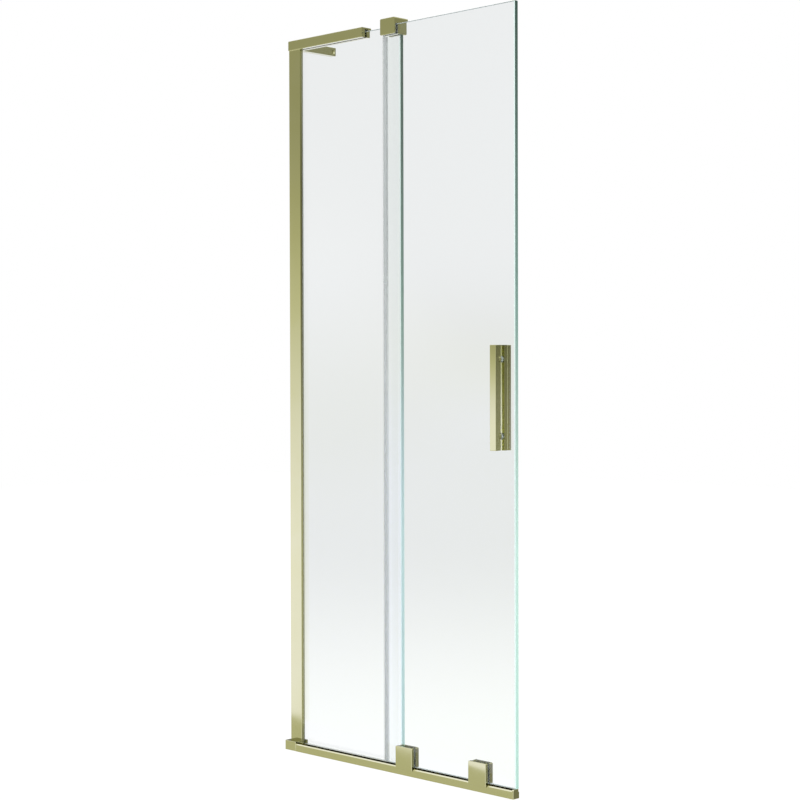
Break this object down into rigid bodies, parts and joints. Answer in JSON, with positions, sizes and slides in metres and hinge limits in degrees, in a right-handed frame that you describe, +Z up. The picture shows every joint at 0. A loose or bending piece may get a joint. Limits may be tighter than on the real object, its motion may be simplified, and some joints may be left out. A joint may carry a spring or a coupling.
{
  "type": "sliding bath screen",
  "caption": "Bath screen with a fixed glass pane in a wall profile and a glass pane that slides past it on a bottom rail, with a header rail and a pull handle.",
  "frame": {"origin": "on the wall plane, at the level of the bath rim, under the middle of the sliding pane's thickness", "axes": "+X from the wall along the screen, +Y to the bath side, +Z up"},
  "size_m": [0.65, 0.1575, 1.514],
  "materials": {
    "gold_metal": "polished pale gold plating",
    "clear_glass": "8 mm toughened clear glass with polished edges",
    "black_rubber": "matt black EPDM rubber",
    "clear_seal": "translucent soft PVC",
    "white_nylon": "natural nylon",
    "steel": "stainless steel",
    "dark_plastic": "moulded black plastic",
    "mill_aluminium": "mill-finish extrusion"
  },
  "bodies": {
    "screen_frame": {"arm_screw": "steel", "bottom_rail": "gold_metal", "fixed_glass": "clear_glass", "fixed_glass_seal": "clear_seal", "front_glazing_gasket": "clear_seal", "guide_clamp_pads": "clear_seal", "guide_clamp_screws": "steel", "header_gasket": "clear_seal", "header_grub_screws": "steel", "header_rail": "gold_metal", "left_track_stop": "dark_plastic", "profile_lock_screws": "steel", "profile_screw_caps": "gold_metal", "rail_end_cap": "gold_metal", "rail_fixing_screws": "steel", "rail_wall_bracket": "gold_metal", "rear_glazing_gasket": "clear_seal", "right_track_stop": "dark_plastic", "top_guide_body": "gold_metal", "top_guide_liner": "clear_seal", "track_bumpers": "black_rubber", "track_stop_screws": "steel", "wall_arm": "gold_metal", "wall_channel": "mill_aluminium", "wall_profile": "gold_metal"},
    "sliding_panel": {"edge_seal": "clear_seal", "handle_bushes": "white_nylon", "handle_front_bar": "gold_metal", "handle_front_posts": "gold_metal", "handle_rear_bar": "gold_metal", "handle_rear_posts": "gold_metal", "handle_studs": "steel", "handle_washers": "clear_seal", "moving_glass": "clear_glass", "left_axle_pins": "steel", "left_clamp_bush": "white_nylon", "left_clamp_screw": "steel", "left_trolley_carriage": "gold_metal", "left_trolley_liner": "clear_seal", "left_trolley_shell": "gold_metal", "right_axle_pins": "steel", "right_clamp_bush": "white_nylon", "right_clamp_screw": "steel", "right_trolley_carriage": "gold_metal", "right_trolley_liner": "clear_seal", "right_trolley_shell": "gold_metal"},
    "left_wheel_1": {"left_trolley_wheel_1": "white_nylon"},
    "left_wheel_2": {"left_trolley_wheel_2": "white_nylon"},
    "right_wheel_1": {"right_trolley_wheel_1": "white_nylon"},
    "right_wheel_2": {"right_trolley_wheel_2": "white_nylon"}
  },
  "joints": [
    {"name": "panel_slide", "type": "slide", "parent": "screen_frame", "child": "sliding_panel", "axis": [-1, 0, 0], "range_m": [0, 0.25]},
    {"name": "left_wheel_1_spin", "type": "hinge", "parent": "sliding_panel", "child": "left_wheel_1", "pos_m": [0.345, 0, 0.0087], "axis": [0, 1, 0], "continuous": true},
    {"name": "left_wheel_2_spin", "type": "hinge", "parent": "sliding_panel", "child": "left_wheel_2", "pos_m": [0.371, 0, 0.0087], "axis": [0, 1, 0], "continuous": true},
    {"name": "right_wheel_1_spin", "type": "hinge", "parent": "sliding_panel", "child": "right_wheel_1", "pos_m": [0.543, 0, 0.0087], "axis": [0, 1, 0], "continuous": true},
    {"name": "right_wheel_2_spin", "type": "hinge", "parent": "sliding_panel", "child": "right_wheel_2", "pos_m": [0.569, 0, 0.0087], "axis": [0, 1, 0], "continuous": true}
  ],
  "couplings": [
    {"joint": "left_wheel_1_spin", "follows": "panel_slide", "rad_per_m": -181.82},
    {"joint": "left_wheel_2_spin", "follows": "panel_slide", "rad_per_m": -181.82},
    {"joint": "right_wheel_1_spin", "follows": "panel_slide", "rad_per_m": -181.82},
    {"joint": "right_wheel_2_spin", "follows": "panel_slide", "rad_per_m": -181.82}
  ]
}
